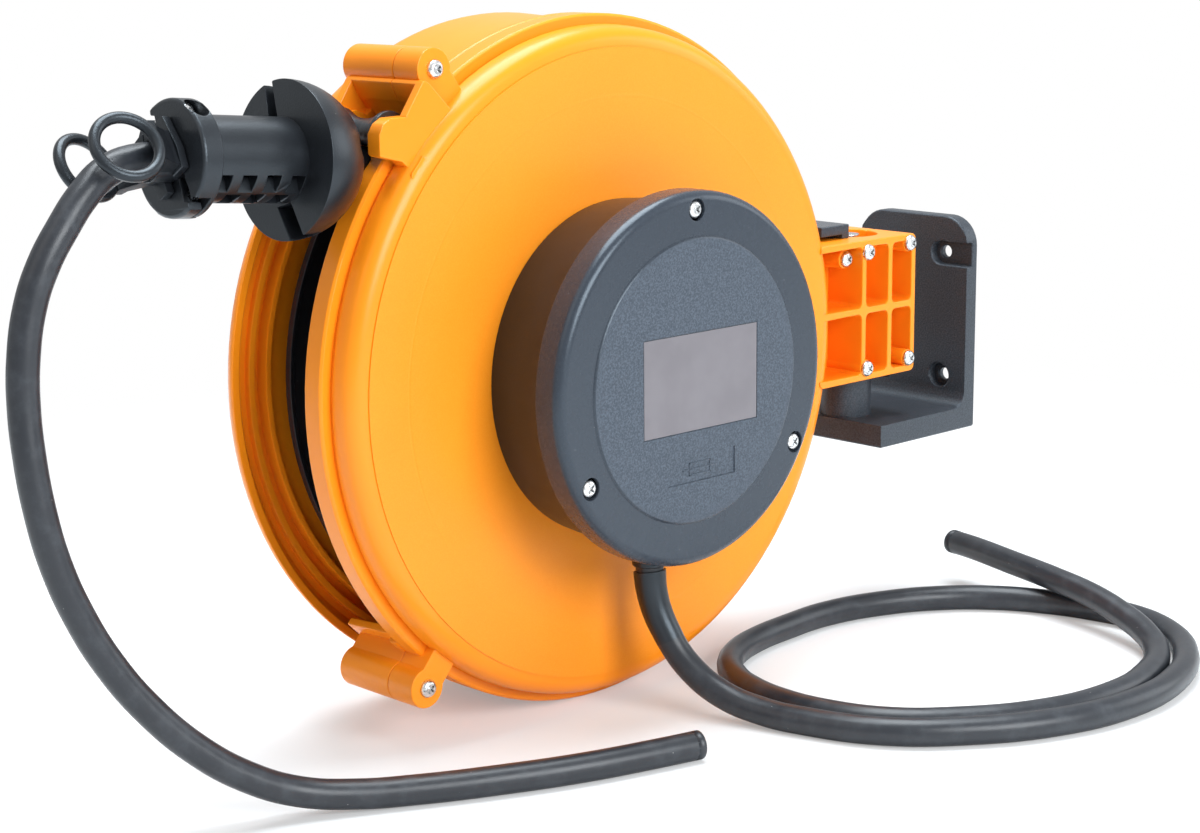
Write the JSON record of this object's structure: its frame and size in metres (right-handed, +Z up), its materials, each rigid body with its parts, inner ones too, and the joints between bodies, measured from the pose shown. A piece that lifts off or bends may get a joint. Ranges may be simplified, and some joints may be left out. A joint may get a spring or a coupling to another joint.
{
  "type": "extension cord reel",
  "caption": "Spring-return cable reel in a round two-part casing, with a collector housing, guided cable mouth, cable stop with pull rings and a swivelling wall bracket.",
  "frame": {"origin": "middle of the base under the casing and bracket, without the free cords: the casing's lowest point is at z = 0", "axes": "+X towards the wall that the bracket is screwed to, -Y the front with the collector cover, +Z up; the reel's axis is along Y"},
  "size_m": [0.5645, 0.2742, 0.31],
  "materials": {
    "orange_plastic": "satin orange moulding",
    "black_plastic": "fine-grained black moulding",
    "grey_black_plastic": "fine-grained blue-black moulding",
    "white_plastic": "plain",
    "cable_rubber": "smooth rubber sheath",
    "zinc_steel": "zinc plated",
    "plain_steel": "turned",
    "spring_steel": "rolled",
    "brass": "turned",
    "carbon": "carbon",
    "label": "bare label plate",
    "dark_paint": "dark powder coat"
  },
  "bodies": {
    "casing": {"front_shell": "orange_plastic", "rear_shell": "orange_plastic", "shell_screws": "zinc_steel", "arm_screws": "zinc_steel", "collector_housing": "black_plastic", "collector_cover": "grey_black_plastic", "cover_screws": "zinc_steel", "label_plate": "label", "feed_gland": "black_plastic", "feed_cable": "cable_rubber", "terminal_block": "white_plastic", "brush_holder": "black_plastic", "brushes": "carbon", "brush_springs": "spring_steel", "axle": "plain_steel", "axle_screw": "zinc_steel", "pawl_pin": "plain_steel", "pawl_spring": "spring_steel", "upper_roller_pin": "plain_steel", "lower_roller_pin": "plain_steel", "cable_lead": "cable_rubber", "output_cable": "cable_rubber", "stopper_front_half": "black_plastic", "stopper_rear_half": "black_plastic", "stopper_screws": "zinc_steel", "pull_ring_front": "black_plastic", "pull_ring_rear": "black_plastic", "pivot_key": "grey_black_plastic"},
    "drum": {"drum_barrel": "black_plastic", "drum_front_flange": "black_plastic", "drum_rear_flange": "black_plastic", "front_bush": "white_plastic", "rear_bush": "white_plastic", "cable_core": "cable_rubber", "cable_winding": "cable_rubber", "mainspring": "spring_steel", "spring_cover": "plain_steel", "ratchet_ring": "plain_steel", "ring_carrier": "white_plastic", "slip_rings": "brass"},
    "pawl": {"pawl": "plain_steel"},
    "upper_roller": {"upper_roller": "black_plastic"},
    "lower_roller": {"lower_roller": "black_plastic"},
    "bracket": {"wall_bracket": "dark_paint", "pivot_pin": "plain_steel"}
  },
  "joints": [
    {"name": "drum_spin", "type": "hinge", "parent": "casing", "child": "drum", "pos_m": [-0.0475, 0.0226, 0.155], "axis": [0, 1, 0], "continuous": true},
    {"name": "pawl_hinge", "type": "hinge", "parent": "casing", "child": "pawl", "pos_m": [0.0119, 0.0549, 0.2144], "axis": [0, -1, 0], "range_deg": [0, 11], "stiffness_Nm_per_rad": 0.02, "springref_deg": -22.92},
    {"name": "upper_roller_spin", "type": "hinge", "parent": "casing", "child": "upper_roller", "pos_m": [-0.16334, 0.0116, 0.26521], "axis": [0, 1, 0], "continuous": true},
    {"name": "lower_roller_spin", "type": "hinge", "parent": "casing", "child": "lower_roller", "pos_m": [-0.15498, 0.0116, 0.24019], "axis": [0, 1, 0], "continuous": true},
    {"name": "bracket_swivel", "type": "hinge", "parent": "casing", "child": "bracket", "pos_m": [0.1405, 0.0066, 0.11], "axis": [0, 0, 1], "range_deg": [-80, 80]}
  ]
}
